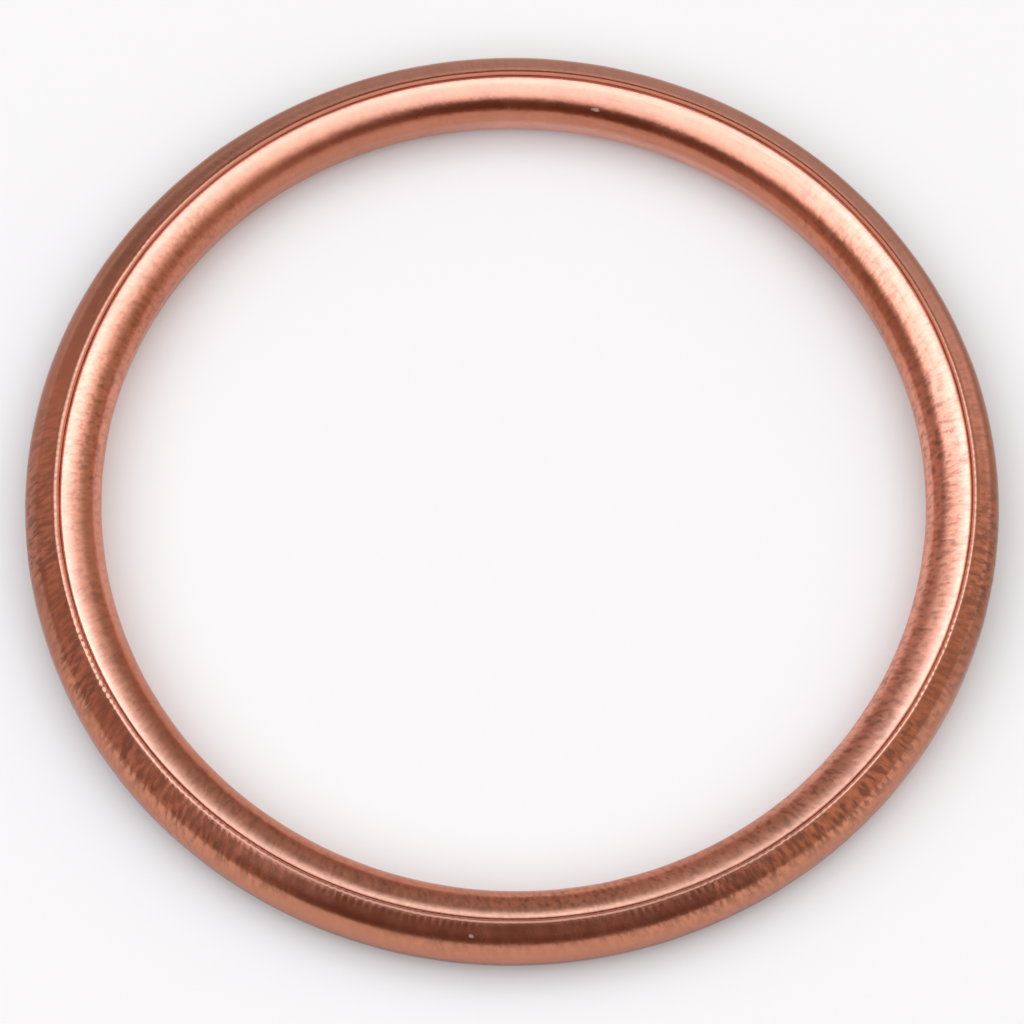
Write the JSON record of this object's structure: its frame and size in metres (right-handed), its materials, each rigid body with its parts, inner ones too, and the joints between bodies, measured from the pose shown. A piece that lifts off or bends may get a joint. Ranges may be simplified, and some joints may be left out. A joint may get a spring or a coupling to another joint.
{
  "type": "exhaust pipe gasket",
  "caption": "Hollow copper crush ring rolled from one sheet, its outer edge lapped over the inner wall as a lip, that seals a pipe flange in a round port.",
  "frame": {"origin": "middle of the plane that the ring rests on, on the ring's axis", "axes": "+Z along the ring's axis, from the seat up to the lapped side; X and Y lie in the seat's plane, with -Y towards the picture's viewer"},
  "size_m": [0.0446, 0.0446, 0.004],
  "materials": {
    "copper": "bright rolled copper sheet, with fine forming marks across the outer wall"
  },
  "bodies": {
    "root": {"gasket_ring": "copper"}
  },
  "joints": []
}
